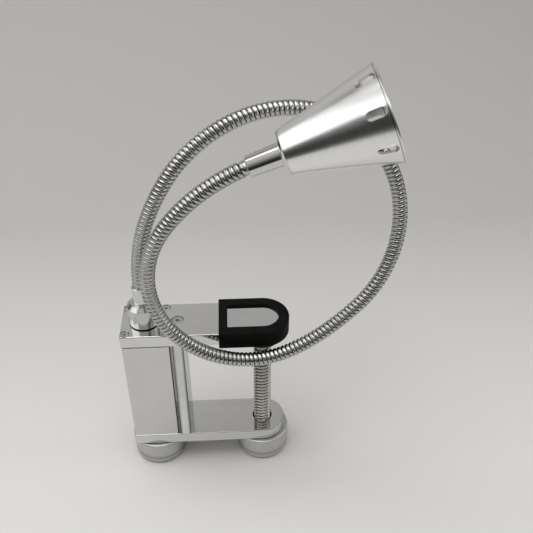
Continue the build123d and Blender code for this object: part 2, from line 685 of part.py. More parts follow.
for index, stretch in enumerate(STRETCHES):
    number = index + 1
    length = stretch[4]
    tube_start = JOINT_GAP if index else 0
    wire_start = DOME_R + DOME_CLEARANCE + WIRE_END if index else 0

    with BuildPart() as neck_segment:
        add(bent_rod(index, tube_start, length - JOINT_GAP, NECK_R))
        with Locations(ball_place(index, length)):
            Sphere(DOME_R)
        if index:
            with Locations(ball_place(index, 0)):
                Sphere(DOME_R + DOME_CLEARANCE, mode=Mode.SUBTRACT)
        else:
            with BuildSketch(Plane.XY.offset(FERRULE_TOP)):
                with Locations((COLLAR_X, 0)):
                    Circle(NECK_R)
            extrude(amount=-NECK_SOCKET)
            with BuildSketch(Plane.XY.offset(FERRULE_TOP)):
                with Locations((COLLAR_X, 0)):
                    Circle(NECK_BORE_R)
            extrude(amount=-NECK_SOCKET, mode=Mode.SUBTRACT)
        add(bent_rod(index, 0, length + DOME_R + DOME_CLEARANCE, NECK_BORE_R), mode=Mode.SUBTRACT)
    neck_segment.part.label = f"neck_segment_{number}"
    export_step(neck_segment.part, f"parts/neck_segment_{number}.step")

    with BuildPart() as neck_wires:
        for side in (-1, 1):
            add(bent_rod(index, wire_start, length + DOME_R - WIRE_END, WIRE_R, side * WIRE_PITCH / 2))
    neck_wires.part.label = f"neck_wires_{number}"
    export_step(neck_wires.part, f"parts/neck_wires_{number}.step")

# ------------------------------------------------------------------ head, along its own axis
HEAD_JOINT = neck_point(len(STRETCHES) - 1, STRETCHES[-1][4])
tilt = math.radians(HEAD_TILT)
HEAD_AXIS = Vector(math.cos(tilt), 0, math.sin(tilt))
HEAD_UP = Vector(-math.sin(tilt), 0, math.cos(tilt))
SHADE_BACK = HEAD_JOINT + HEAD_AXIS * HEAD_BACK
# sketch plane of the half sections: X is the radius and Y the distance in front of the shade's back
SECTION = Plane(origin=SHADE_BACK, x_dir=HEAD_UP, z_dir=HEAD_UP.cross(HEAD_AXIS))
SPIN = Axis(HEAD_JOINT, HEAD_AXIS)
shade_slope = (SHADE_MOUTH_R - SHADE_BACK_R) / SHADE_LENGTH


def head_plane(from_back):
    """Plane across the head's axis, this far in front of the shade's back; its X is up."""
    return Plane(origin=SHADE_BACK + HEAD_AXIS * from_back, x_dir=HEAD_UP, z_dir=HEAD_AXIS)


def outer_r(from_back):
    """The shade's outer radius."""
    return SHADE_BACK_R + shade_slope * from_back


def inner_r(from_back):
    """The shade's inner radius."""
    return outer_r(from_back) - SHADE_WALL


stud_end = SHADE_BACK_WALL + NUT_THICK + STUD_PROUD
with BuildPart() as head_ferrule:
    with BuildSketch(SECTION):
        add(half_section([
            (0, JOINT_GAP - HEAD_BACK),
            (HEAD_FERRULE_R - EDGE_ROUND, JOINT_GAP - HEAD_BACK),
            (HEAD_FERRULE_R, JOINT_GAP + EDGE_ROUND - HEAD_BACK),
            (HEAD_FERRULE_MOUTH_R, -EDGE_ROUND),
            (HEAD_FERRULE_MOUTH_R - EDGE_ROUND, 0),
            (STUD_R, 0),
            (STUD_R, stud_end),
            (0, stud_end),
        ]))
    revolve(axis=SPIN)
    with Locations(HEAD_JOINT):
        Sphere(DOME_R + DOME_CLEARANCE, mode=Mode.SUBTRACT)
    with BuildSketch(head_plane(-HEAD_BACK)):
        Circle(NECK_BORE_R)
    extrude(amount=HEAD_BACK + stud_end, mode=Mode.SUBTRACT)
head_ferrule.part.label = "head_ferrule"
export_step(head_ferrule.part, "parts/head_ferrule.step")

with BuildPart() as ferrule_nut:
    with BuildSketch(head_plane(SHADE_BACK_WALL)):
        RegularPolygon(NUT_R, 6)
        Circle(STUD_R + FIT_CLEARANCE, mode=Mode.SUBTRACT)
    extrude(amount=NUT_THICK)
ferrule_nut.part.label = "ferrule_nut"
export_step(ferrule_nut.part, "parts/ferrule_nut.step")

# the shade's wall is one outline: back, cone, eased lip, inside and the hole for the ferrule's stud
with BuildPart() as shade:
    with BuildSketch(SECTION):
        add(half_section([
            (STUD_R + FIT_CLEARANCE, 0),
            (SHADE_BACK_R - SHADE_BACK_ROUND, 0),
            (SHADE_BACK_R - SHADE_BACK_ROUND * QUARTER_MIDDLE, SHADE_BACK_ROUND * QUARTER_MIDDLE),
            (outer_r(SHADE_BACK_ROUND), SHADE_BACK_ROUND),
            (outer_r(SHADE_LENGTH - SHADE_LIP_R), SHADE_LENGTH - SHADE_LIP_R),
            (SHADE_MOUTH_R - SHADE_LIP_R, SHADE_LENGTH),
            (SHADE_MOUTH_R - SHADE_WALL, SHADE_LENGTH),
            (inner_r(SHADE_BACK_WALL), SHADE_BACK_WALL),
            (STUD_R + FIT_CLEARANCE, SHADE_BACK_WALL),
        ]))
    revolve(axis=SPIN)
    for count in range(SLOT_COUNT):
        around = math.radians(SLOT_PHASE + count * FULL_TURN / SLOT_COUNT)
        outward = HEAD_UP * math.cos(around) + Vector(0, -1, 0) * math.sin(around)
        middle = SHADE_BACK + HEAD_AXIS * SLOT_CENTRE
        with BuildSketch(Plane(origin=middle, x_dir=HEAD_AXIS, z_dir=outward)):
            SlotOverall(SLOT_LENGTH, SLOT_WIDTH)
        extrude(amount=2 * SHADE_MOUTH_R, mode=Mode.SUBTRACT)
shade.part.label = "shade"
export_step(shade.part, "parts/shade.step")

sink_front = SINK_BACK + SINK_THICK
with BuildPart() as heat_sink:
    with BuildSketch(SECTION):
        add(half_section([
            (0, SINK_BACK),
            (inner_r(SINK_BACK) - FIT_CLEARANCE, SINK_BACK),
            (inner_r(sink_front) - FIT_CLEARANCE, sink_front),
            (0, sink_front),
        ]))
    revolve(axis=SPIN)
    for count in (1, 2):
        # two turned grooves leave fins round the edge
        groove_back = SINK_BACK + count * SINK_THICK / 3 - SINK_FIN_GAP / 2
        with BuildSketch(head_plane(groove_back)):
            Circle(outer_r(groove_back))
            Circle(LED_BOARD_R - 2 * SINK_FIN_GAP, mode=Mode.SUBTRACT)
        extrude(amount=SINK_FIN_GAP, mode=Mode.SUBTRACT)
    with BuildSketch(head_plane(SINK_BACK)):
        with Locations(*[(0, side * WIRE_PITCH / 2) for side in (-1, 1)]):
            Circle(WIRE_R + FIT_CLEARANCE)
    extrude(amount=SINK_THICK, mode=Mode.SUBTRACT)
heat_sink.part.label = "heat_sink"
export_step(heat_sink.part, "parts/heat_sink.step")

with BuildPart() as head_wires:
    with BuildSketch(head_plane(DOME_R + DOME_CLEARANCE + WIRE_END - HEAD_BACK)):
        with Locations(*[(0, side * WIRE_PITCH / 2) for side in (-1, 1)]):
            Circle(WIRE_R)
    extrude(amount=HEAD_BACK - DOME_R - DOME_CLEARANCE - WIRE_END + sink_front)
head_wires.part.label = "head_wires"
export_step(head_wires.part, "parts/head_wires.step")

board_front = sink_front + LED_BOARD_THICK
with BuildPart() as led_board:
    with BuildSketch(head_plane(sink_front)):
        Circle(LED_BOARD_R)
        with PolarLocations(LED_BOARD_R, LED_NOTCHES):
            Circle(LED_NOTCH_R, mode=Mode.SUBTRACT)
    extrude(amount=LED_BOARD_THICK)
led_board.part.label = "led_board"
export_step(led_board.part, "parts/led_board.step")

emitter_front = board_front + EMITTER_THICK
with BuildPart() as led_emitter:
    with BuildSketch(head_plane(board_front)):
        Rectangle(EMITTER_SIZE, EMITTER_SIZE)
    extrude(amount=EMITTER_THICK)
    with BuildSketch(SECTION):
        with BuildLine():
            RadiusArc((EMITTER_DOME_R, emitter_front), (0, emitter_front + EMITTER_DOME_R), -EMITTER_DOME_R)
            Polyline((0, emitter_front + EMITTER_DOME_R), (0, emitter_front), (EMITTER_DOME_R, emitter_front))
        make_face()
    revolve(axis=SPIN)
led_emitter.part.label = "led_emitter"
export_step(led_emitter.part, "parts/led_emitter.step")

# a funnel from the emitter out to the lens
reflector_front = board_front + REFLECTOR_LENGTH
reflector_back_r = EMITTER_SIZE / math.sqrt(2) + REFLECTOR_SPARE
reflector_front_r = inner_r(reflector_front) - LENS_RING_WIDTH
with BuildPart() as reflector:
    with BuildSketch(SECTION):
        add(half_section([
            (reflector_back_r, board_front),
            (reflector_back_r + REFLECTOR_WALL, board_front),
            (reflector_front_r, reflector_front - REFLECTOR_WALL),
            (inner_r(reflector_front - REFLECTOR_WALL) - FIT_CLEARANCE, reflector_front - REFLECTOR_WALL),
            (inner_r(reflector_front) - FIT_CLEARANCE, reflector_front),
            (reflector_front_r - REFLECTOR_WALL, reflector_front),
        ]))
    revolve(axis=SPIN)
reflector.part.label = "reflector"
export_step(reflector.part, "parts/reflector.step")

lens_front = reflector_front + LENS_THICK
with BuildPart() as lens:
    with BuildSketch(head_plane(reflector_front)):
        Circle(inner_r(reflector_front) - FIT_CLEARANCE)
    extrude(amount=LENS_THICK)
lens.part.label = "lens"
export_step(lens.part, "parts/lens.step")

ring_front = lens_front + LENS_RING_THICK
ring_hole_r = inner_r(lens_front) - LENS_RING_WIDTH
with BuildPart() as lens_ring:
    with BuildSketch(SECTION):
        add(half_section([
            (ring_hole_r, lens_front),
            (inner_r(lens_front) - FIT_CLEARANCE, lens_front),
            (inner_r(ring_front) - FIT_CLEARANCE, ring_front),
            (ring_hole_r + LENS_RING_WIDTH / 2, ring_front),
        ]))
    revolve(axis=SPIN)
lens_ring.part.label = "lens_ring"
export_step(lens_ring.part, "parts/lens_ring.step")

print("gooseneck length", round(sum(stretch[4] for stretch in STRETCHES), 1))
for index, stretch in enumerate(STRETCHES):
    print("neck joint", index + 1, [round(value, 2) for value in neck_point(index, stretch[4])])
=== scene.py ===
import json
import math

import bpy
import numpy as np
from mathutils import Matrix, Vector


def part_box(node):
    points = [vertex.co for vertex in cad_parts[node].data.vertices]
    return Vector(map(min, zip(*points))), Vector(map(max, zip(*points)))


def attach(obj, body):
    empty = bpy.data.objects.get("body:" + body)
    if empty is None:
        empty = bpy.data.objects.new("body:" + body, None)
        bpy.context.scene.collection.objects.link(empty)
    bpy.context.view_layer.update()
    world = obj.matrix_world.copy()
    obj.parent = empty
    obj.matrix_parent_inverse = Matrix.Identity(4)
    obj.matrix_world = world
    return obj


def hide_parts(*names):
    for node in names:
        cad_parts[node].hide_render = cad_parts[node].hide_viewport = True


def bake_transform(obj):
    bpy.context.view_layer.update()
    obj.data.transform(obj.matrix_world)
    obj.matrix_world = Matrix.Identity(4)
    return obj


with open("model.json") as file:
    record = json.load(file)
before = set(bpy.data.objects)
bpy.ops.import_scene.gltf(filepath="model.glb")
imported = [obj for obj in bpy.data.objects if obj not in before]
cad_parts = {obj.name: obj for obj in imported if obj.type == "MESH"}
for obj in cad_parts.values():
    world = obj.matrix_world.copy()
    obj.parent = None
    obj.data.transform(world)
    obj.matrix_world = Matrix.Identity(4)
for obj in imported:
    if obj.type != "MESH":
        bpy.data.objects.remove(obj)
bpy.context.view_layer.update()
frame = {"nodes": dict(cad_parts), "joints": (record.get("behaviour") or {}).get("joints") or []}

MM = 0.001
FULL_TURN = 2 * math.pi
GROUND = -94.4 * MM         # lower faces of the foot and the knob
BOX_X = -62.5 * MM          # axis of the battery box and the foot
COLLAR_X = -63 * MM         # axis of the collar and the base ferrule
joints = {joint["name"]: joint for joint in frame["joints"]}


# ------------------------------------------------------------------ node helpers
CLOUD_SHARE = 0.6           # of a metal's colour change; its grain makes the rest
METAL_RELIEF = 0.05 * MM
MATT_RELIEF = 0.1 * MM
MATT_CLOUD_RATIO = 25       # a matt surface's pebbles are finer than its clouds by this much
BRUSH_ALONG = 12
BRUSH_ACROSS = 900
SPECKLE_SCALE = 2500
TURNED_SCALE = 2600
SPUN_SCALE = 2200
# depths over which the painted shade inside a jaw plate's faces comes in
INNER_STARTS = 0.02 * MM
INNER_FULL = 0.1 * MM


def new_material(name):
    """Empty node material with its shader; returns the material, its node tree and the shader."""
    material = bpy.data.materials.new(name)
    material.use_nodes = True
    tree = material.node_tree
    tree.nodes.clear()
    shader = tree.nodes.new("ShaderNodeBsdfPrincipled")
    output = tree.nodes.new("ShaderNodeOutputMaterial")
    tree.links.new(shader.outputs["BSDF"], output.inputs["Surface"])
    return material, tree, shader


def object_coords(tree, scale=(1, 1, 1)):
    """The piece's own coordinates in metres, stretched by a scale."""
    coords = tree.nodes.new("ShaderNodeTexCoord")
    mapping = tree.nodes.new("ShaderNodeMapping")
    mapping.inputs["Scale"].default_value = scale
    tree.links.new(coords.outputs["Object"], mapping.inputs["Vector"])
    return mapping.outputs["Vector"]


def noise(tree, vector, scale, detail=3.0, roughness=0.5):
    """Noise in three dimensions."""
    node = tree.nodes.new("ShaderNodeTexNoise")
    node.inputs["Scale"].default_value = scale
    node.inputs["Detail"].default_value = detail
    node.inputs["Roughness"].default_value = roughness
    tree.links.new(vector, node.inputs["Vector"])
    return node.outputs["Fac"]


def line_noise(tree, value, scale, detail=3.0):
    """Noise that varies with one value only: fine parallel lines."""
    node = tree.nodes.new("ShaderNodeTexNoise")
    node.noise_dimensions = "1D"
    node.inputs["Scale"].default_value = scale
    node.inputs["Detail"].default_value = detail
    tree.links.new(value, node.inputs["W"])
    return node.outputs["Fac"]


def ramp(tree, value, low, high, low_at=0.3, high_at=0.7):
    """Maps a value between two positions onto low to high. By default they are the span that noise fills."""
    node = tree.nodes.new("ShaderNodeMapRange")
    node.inputs["From Min"].default_value = low_at
    node.inputs["From Max"].default_value = high_at
    node.inputs["To Min"].default_value = low
    node.inputs["To Max"].default_value = high
    tree.links.new(value, node.inputs["Value"])
    return node.outputs["Result"]


def maths(tree, operation, first, second):
    """One math node; each side is a socket or a number."""
    node = tree.nodes.new("ShaderNodeMath")
    node.operation = operation
    for socket, value in zip(node.inputs, (first, second)):
        if isinstance(value, (int, float)):
            socket.default_value = value
        else:
            tree.links.new(value, socket)
    return node.outputs[0]


def tint(tree, value, dark, light):
    """Mixes two colours by a value."""
    node = tree.nodes.new("ShaderNodeMix")
    node.data_type = "RGBA"
    tree.links.new(value, node.inputs["Factor"])
    node.inputs["A"].default_value = (*dark, 1)
    node.inputs["B"].default_value = (*light, 1)
    return node.outputs["Result"]


def add_bump(tree, shader, height, strength, distance):
    """Surface relief from a height socket, distance in metres."""
    node = tree.nodes.new("ShaderNodeBump")
    node.inputs["Strength"].default_value = strength
    node.inputs["Distance"].default_value = distance
    tree.links.new(height, node.inputs["Height"])
    tree.links.new(node.outputs["Normal"], shader.inputs["Normal"])


def darken(tree, shader, amount, colour=(0.015, 0.015, 0.015)):
    """Mixes the base colour towards a dark one by a socket."""
    node = tree.nodes.new("ShaderNodeMix")
    node.data_type = "RGBA"
    tree.links.new(amount, node.inputs["Factor"])
    tree.links.new(shader.inputs["Base Color"].links[0].from_socket, node.inputs["A"])
    node.inputs["B"].default_value = (*colour, 1)
    tree.links.new(node.outputs["Result"], shader.inputs["Base Color"])


def painted_groove_shade(tree, shader, start, most):
    """Painted shade in the grooves of a helical skin, from its groove attribute."""
    node = tree.nodes.new("ShaderNodeAttribute")
    node.attribute_name = "groove"
    darken(tree, shader, ramp(tree, node.outputs["Fac"], 0, most, start, 1))


def coordinate(tree, axis="Z"):
    """One of the piece's own coordinates in metres."""
    coords = tree.nodes.new("ShaderNodeTexCoord")
    split = tree.nodes.new("ShaderNodeSeparateXYZ")
    tree.links.new(coords.outputs["Object"], split.inputs["Vector"])
    return split.outputs[axis]


def distance_along(tree, axis):
    """Distance from the origin along a slanted axis."""
    coords = tree.nodes.new("ShaderNodeTexCoord")
    dot = tree.nodes.new("ShaderNodeVectorMath")
    dot.operation = "DOT_PRODUCT"
    tree.links.new(coords.outputs["Object"], dot.inputs[0])
    dot.inputs[1].default_value = axis
    return dot.outputs["Value"]


def paint_shade_near(tree, shader, distance, centre, half, most):
    """Paints shade softly within half of a centre, measured by a distance socket."""
    away = maths(tree, "ABSOLUTE", maths(tree, "SUBTRACT", distance, centre), 0)
    darken(tree, shader, ramp(tree, away, most, 0, 0, half))


def painted_shade_band(tree, shader, axis, centre, half, most):
    """A soft band of painted shade across one coordinate axis."""
    paint_shade_near(tree, shader, coordinate(tree, axis), centre, half, most)


def painted_shade_ring(tree, shader, axis, centre, half, most):
    """A soft ring of painted shade round a slanted axis."""
    paint_shade_near(tree, shader, distance_along(tree, axis), centre, half, most)


def painted_shade_fade(tree, shader, low, high, most):
    """Darkens steadily from one height to another, as painted shade."""
    darken(tree, shader, ramp(tree, coordinate(tree), 0, most, low, high))


def radius_of(tree, first, second):
    """Length of a vector from two coordinates."""
    squares = [maths(tree, "MULTIPLY", value, value) for value in (first, second)]
    return maths(tree, "POWER", maths(tree, "ADD", *squares), 0.5)


def painted_inner_shade(tree, shader, top, half_width, most):
    """
    Painted shade over what lies inside both the top face and the long sides of a jaw plate.

    That is its eased upper edge, whose highlight it dims, and with it the underside, the square end and the
    walls of its holes.
    """
    reach = maths(tree, "MAXIMUM", coordinate(tree, "X"), 0)
    side = maths(tree, "SUBTRACT", half_width, radius_of(tree, reach, coordinate(tree, "Y")))
    inside = maths(tree, "MINIMUM", side, maths(tree, "SUBTRACT", top, coordinate(tree)))
    darken(tree, shader, ramp(tree, inside, 0, most, INNER_STARTS, INNER_FULL))


def metal(name, dark, light, rough, grain, bump=0.1, spots=40, marks=()):
    """
    Metal between two colours and two roughnesses, with a grain and cloudy polish marks.

    grain(tree) makes the grain's socket, spots is the scale of the clouds, and each mark is a function that
    paints shade, with its values.
    """
    material, tree, shader = new_material(name)
    shader.inputs["Metallic"].default_value = 1.0
    cloud = noise(tree, object_coords(tree), spots, 5, 0.6)
    lines = grain(tree)
    from_cloud = maths(tree, "MULTIPLY", cloud, CLOUD_SHARE)
    from_lines = maths(tree, "MULTIPLY", lines, 1 - CLOUD_SHARE)
    both = maths(tree, "ADD", from_cloud, from_lines)
    tree.links.new(tint(tree, ramp(tree, both, 0, 1), dark, light), shader.inputs["Base Color"])
    tree.links.new(ramp(tree, both, rough[0], rough[1]), shader.inputs["Roughness"])
    add_bump(tree, shader, lines, bump, METAL_RELIEF)
    for mark, *values in marks:
        mark(tree, shader, *values)
    return material


def grain_along_x(tree):
    """Brushed lines along X."""
    return noise(tree, object_coords(tree, (BRUSH_ALONG, BRUSH_ACROSS, BRUSH_ACROSS)), 2.0, 4)


def grain_along_z(tree):
    """Brushed lines along Z."""
    return noise(tree, object_coords(tree, (BRUSH_ACROSS, BRUSH_ACROSS, BRUSH_ALONG)), 2.0, 4)


def fine_speckle(tree):
    """Even fine grain without a direction."""
    return noise(tree, object_coords(tree), SPECKLE_SCALE, 2)


def rings_about(x, y):
    """Turning marks round a vertical axis, on sides and flat faces alike."""
    def grain(tree):
        dx = maths(tree, "SUBTRACT", coordinate(tree, "X"), x)
        dy = maths(tree, "SUBTRACT", coordinate(tree, "Y"), y)
        course = maths(tree, "ADD", radius_of(tree, dx, dy), coordinate(tree))
        return line_noise(tree, course, TURNED_SCALE, 4)
    return grain


def rings_along(axis):
    """Spinning marks round a slanted axis."""
    def grain(tree):
        return line_noise(tree, distance_along(tree, axis), SPUN_SCALE, 4)
    return grain


def matt(name, dark, light, rough, bump, scale, specular=0.5):
    """Rubber, plastic or board: a fine pebbled surface with uneven sheen."""
    material, tree, shader = new_material(name)
    shader.inputs["Specular IOR Level"].default_value = specular
    fine = noise(tree, object_coords(tree), scale, 4)
    cloud = noise(tree, object_coords(tree), scale / MATT_CLOUD_RATIO, 4)
    tree.links.new(tint(tree, ramp(tree, cloud, 0, 1), dark, light), shader.inputs["Base Color"])
    tree.links.new(ramp(tree, cloud, rough[0], rough[1]), shader.inputs["Roughness"])
    add_bump(tree, shader, fine, bump, MATT_RELIEF)
    return material


# ------------------------------------------------------------------ materials
HEAD_TILT = math.radians(22)
HEAD_AXIS = Vector((math.cos(HEAD_TILT), 0, math.sin(HEAD_TILT)))
NECK_TO_SHADE = 17 * MM     # from the head's joint to the shade's back
HEAD_BACK = Vector(joints["head_turn"]["pos_m"]).dot(HEAD_AXIS) + NECK_TO_SHADE
# painted shade rings on the lamp shade
LAMP_SHADE_PAINTED_LINES = [
    (painted_shade_ring, HEAD_AXIS, HEAD_BACK + 45.9 * MM, 0.35 * MM, 0.75),      # painted shade line behind the bright rim at the mouth's lip
    (painted_shade_ring, HEAD_AXIS, HEAD_BACK + 1.2 * MM, 1.0 * MM, 0.25),        # painted shade at the rounded back edge
]
# painted shade on the spine: dark bands along its two side edges, and a fade over its upper part that leaves
# the lower part brighter, a painted reflection of the floor
SPINE_PAINTED_SHADE = [(painted_shade_band, "X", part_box("spine")[end][0], 1.6 * MM, 0.85) for end in (0, 1)]
SPINE_PAINTED_SHADE.append((painted_shade_fade, -58 * MM, -35 * MM, 0.2))
# painted shade on the foot and the knob
PUCK_PAINTED_SHADE = [
    (painted_shade_band, "Z", GROUND + 5.9 * MM, 2.0 * MM, 0.42),                 # painted shade: a dark reflection at the step
    (painted_shade_band, "Z", GROUND + 17.2 * MM, 0.4 * MM, 0.5),                 # painted shade just under the plate, at the upper edge
]
PLATE_HALF = 13 * MM


def plate_metal(name):
    """Polished metal of one jaw plate."""
    # painted shade on the eased upper edge, the underside, the square end and the hole walls
    marks = [(painted_inner_shade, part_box(name)[1][2], PLATE_HALF, 0.7)]
    return metal(
        name + "_metal", (0.62, 0.62, 0.62), (0.71, 0.71, 0.70), (0.05, 0.12), grain_along_x, 0.03,
        marks=marks,
    )


box_metal = metal("box_metal", (0.56, 0.56, 0.56), (0.66, 0.66, 0.65), (0.12, 0.22), grain_along_z, 0.06)
spine_metal = metal(
    "spine_metal", (0.66, 0.66, 0.66), (0.86, 0.86, 0.85), (0.08, 0.16), grain_along_z, 0.06,
    marks=SPINE_PAINTED_SHADE,
)
foot_metal = metal(
    "foot_metal", (0.46, 0.46, 0.46), (0.58, 0.58, 0.57), (0.36, 0.48), rings_about(BOX_X, 0), 0.35,
    marks=PUCK_PAINTED_SHADE,
)
knob_metal = metal(
    "knob_metal", (0.52, 0.52, 0.52), (0.64, 0.64, 0.63), (0.36, 0.48), rings_about(0, 0), 0.35,
    marks=PUCK_PAINTED_SHADE,
)
collar_metal = metal(
    "collar_metal", (0.46, 0.46, 0.46), (0.62, 0.62, 0.61), (0.10, 0.18), rings_about(COLLAR_X, 0), 0.1
)
shade_metal = metal(
    "shade_metal", (0.76, 0.76, 0.76), (0.84, 0.84, 0.84), (0.17, 0.23), rings_along(HEAD_AXIS), 0.04,
    marks=LAMP_SHADE_PAINTED_LINES,
)
chrome = metal("chrome", (0.56, 0.56, 0.56), (0.70, 0.70, 0.69), (0.05, 0.14), fine_speckle, 0.04)
coil_chrome = metal(
    "coil_chrome", (0.40, 0.40, 0.40), (0.54, 0.54, 0.53), (0.12, 0.22), fine_speckle, 0.05, 90,
    # painted shade in the grooves between the coil's rings
    [(painted_groove_shade, 0.12, 0.97)],
)
zinc = metal(
    "zinc", (0.46, 0.45, 0.41), (0.60, 0.59, 0.53), (0.14, 0.22), fine_speckle, 0.02, 120,
    # painted shade at the roots of the thread
    [(painted_groove_shade, 0.1, 0.97)],
)
screw_steel = metal(
    "screw_steel", (0.50, 0.50, 0.51), (0.66, 0.66, 0.66), (0.16, 0.30), fine_speckle, 0.1, 200
)
brass = metal("brass", (0.62, 0.46, 0.20), (0.82, 0.66, 0.34), (0.18, 0.32), fine_speckle, 0.1)
sink_metal = metal(
    "sink_metal", (0.32, 0.32, 0.33), (0.44, 0.44, 0.45), (0.35, 0.5), rings_along(HEAD_AXIS), 0.2
)
mirror = metal("mirror", (0.88, 0.88, 0.88), (0.95, 0.95, 0.95), (0.03, 0.08), fine_speckle, 0.02)
rubber = matt("rubber", (0.004, 0.004, 0.004), (0.009, 0.009, 0.009), (0.5, 0.65), 0.25, 2200, specular=0.05)
black_plastic = matt("black_plastic", (0.010, 0.010, 0.010), (0.022, 0.022, 0.022), (0.35, 0.5), 0.2, 1800)
white_plastic = matt("white_plastic", (0.74, 0.74, 0.72), (0.84, 0.84, 0.82), (0.35, 0.5), 0.1, 1500)
cell_wrap = matt("cell_wrap", (0.05, 0.16, 0.27), (0.07, 0.21, 0.34), (0.22, 0.35), 0.08, 700)
board_green = matt("board_green", (0.02, 0.16, 0.07), (0.04, 0.24, 0.11), (0.3, 0.45), 0.15, 1200)
board_white = matt("board_white", (0.78, 0.78, 0.78), (0.88, 0.88, 0.88), (0.4, 0.55), 0.1, 1200)
phosphor = matt("phosphor", (0.72, 0.56, 0.16), (0.84, 0.70, 0.26), (0.2, 0.3), 0.05, 900)



def lens_material():
    """Clear plastic with faint smears."""
    material, tree, shader = new_material("lens_clear")
    shader.inputs["Transmission Weight"].default_value = 1.0
    shader.inputs["IOR"].default_value = 1.5
    smears = noise(tree, object_coords(tree), 60, 4)
    tree.links.new(ramp(tree, smears, 0.02, 0.09), shader.inputs["Roughness"])
    add_bump(tree, shader, noise(tree, object_coords(tree), 900, 2), 0.05, MATT_RELIEF)
    return material


LOOKS = {
    "top_plate": plate_metal("top_plate"), "lower_plate": plate_metal("lower_plate"),
    "spine": spine_metal, "battery_box": box_metal,
    "box_gasket": rubber, "box_screws": screw_steel, "spine_screws": screw_steel, "jaw_cap": rubber,
    "neck_collar": collar_metal, "collar_ring": rubber, "collar_grub_screw": screw_steel,
    "base_ferrule": chrome,
    "cell_sleeve": white_plastic, "battery_cell": cell_wrap, "positive_contact": brass,
    "driver_board": board_green, "driver_chip": black_plastic, "foot_cap": foot_metal, "foot_seal": rubber,
    "foot_contact": brass, "pressure_pad": black_plastic, "pad_face": rubber, "clamp_screw": zinc,
    "knob": knob_metal, "knob_grub_screw": screw_steel, "head_ferrule": chrome, "ferrule_nut": brass,
    "shade": shade_metal, "heat_sink": sink_metal, "led_board": board_white, "led_emitter": phosphor,
    "reflector": mirror, "lens": lens_material(), "lens_ring": black_plastic,
}
for node_name, node in frame["nodes"].items():
    look = LOOKS.get(node_name, coil_chrome if "segment" in node_name else black_plastic)
    node.data.materials.clear()
    node.data.materials.append(look)


# ------------------------------------------------------------------ helical skins
def helical_skin(name, place, start, end, profile, pitch, around, material):
    """
    A tube whose surface winds round its path, from start to end along it.

    place(distance) gives a centre and two cross directions, and profile is the radius over one pitch. A point
    attribute, groove, says how deep each vertex lies: 0 at the crest and 1 at the root.
    """
    per = len(profile)
    step = pitch / per
    rows = round((end - start) / step)
    faces = []
    for row in range(rows):
        for column in range(around - 1):
            low = row * around + column
            faces.append((low, low + 1, low + around + 1, low + around))
        last, first = row * around + around - 1, (row + per) * around
        faces.append((last, first, first + around, last + around))
    used = sorted({corner for face in faces for corner in face})
    verts, depths = [], []
    top, root = max(profile), min(profile)
    for corner in used:
        row, column = divmod(corner, around)
        centre, side, up = place(start + (row + per * column / around) * step)
        angle = FULL_TURN * column / around
        verts.append(centre + (side * math.cos(angle) + up * math.sin(angle)) * profile[row % per])
        depths.append((top - profile[row % per]) / (top - root))
    place_of = {corner: number for number, corner in enumerate(used)}
    skin = make_mesh(name, verts, [[place_of[corner] for corner in face] for face in faces], material)
    skin.data.attributes.new("groove", "FLOAT", "POINT").data.foreach_set("value", depths)
    return skin


def lathe(name, base, axis, profile, around, material):
    """A turned piece: profile is (radius, height) along an axis."""
    side = axis.orthogonal().normalized()
    up = axis.cross(side)
    angles = [FULL_TURN * c / around for c in range(around)]
    verts = [
        base + axis * height + (side * math.cos(angle) + up * math.sin(angle)) * radius
        for radius, height in profile for angle in angles
    ]
    faces = []
    for row in range(len(profile) - 1):
        for c in range(around):
            n = (c + 1) % around
            faces.append((row * around + c, row * around + n, (row + 1) * around + n, (row + 1) * around + c))
    return make_mesh(name, verts, faces, material)


def make_mesh(name, verts, faces, material):
    """A smooth-shaded mesh object in the scene."""
    mesh = bpy.data.meshes.new(name)
    mesh.from_pydata([tuple(v) for v in verts], [], faces)
    mesh.update()
    mesh.polygons.foreach_set("use_smooth", [True] * len(mesh.polygons))
    mesh.materials.append(material)
    made = bpy.data.objects.new(name, mesh)
    bpy.context.scene.collection.objects.link(made)
    return made


# ------------------------------------------------------------------ gooseneck
COIL_R = 3.75 * MM
COIL_GROOVE = 0.75 * MM
COIL_PITCH = 2.3 * MM
COIL_SAMPLES = 12           # points along one turn of the coil
COIL_AROUND = 36
RING_FLATNESS = 4           # how broad a ring is beside its groove
COIL_HIDDEN = 2 * COIL_PITCH        # of the coil inside the base ferrule
FERRULE_TOP = 32.6 * MM
END_BALL_R = 3.4 * MM
END_BALL_SPAN = (-1.0, 1.2)         # radians from the ball's middle
END_BALL_ROWS = 12

bend_names = [f"neck_bend_{n}" for n in range(1, 8)] + ["head_turn"]
knots = [Vector((COLLAR_X, 0, FERRULE_TOP))] + [Vector(joints[name]["pos_m"]) for name in bend_names]


def stretch_arcs():
    """Arcs in the XZ plane, each tangent to the last: start, heading, radius and length of each stretch."""
    heading = math.pi / 2
    arcs = []
    for first, last in zip(knots, knots[1:]):
        run, rise = last.x - first.x, last.z - first.z
        half = (heading - math.atan2(rise, run)) % FULL_TURN
        radius = math.hypot(run, rise) / (2 * math.sin(half))
        arcs.append((first, heading, radius, radius * 2 * half))
        heading -= 2 * half
    return arcs


ARCS = stretch_arcs()
LENGTHS = [arc[3] for arc in ARCS]
MARKS = [sum(LENGTHS[:n]) for n in range(len(LENGTHS) + 1)]


def stretch_at(along):
    """Number of the stretch at a distance along the gooseneck."""
    return min(max(int(np.searchsorted(MARKS, along, side="right")) - 1, 0), len(LENGTHS) - 1)


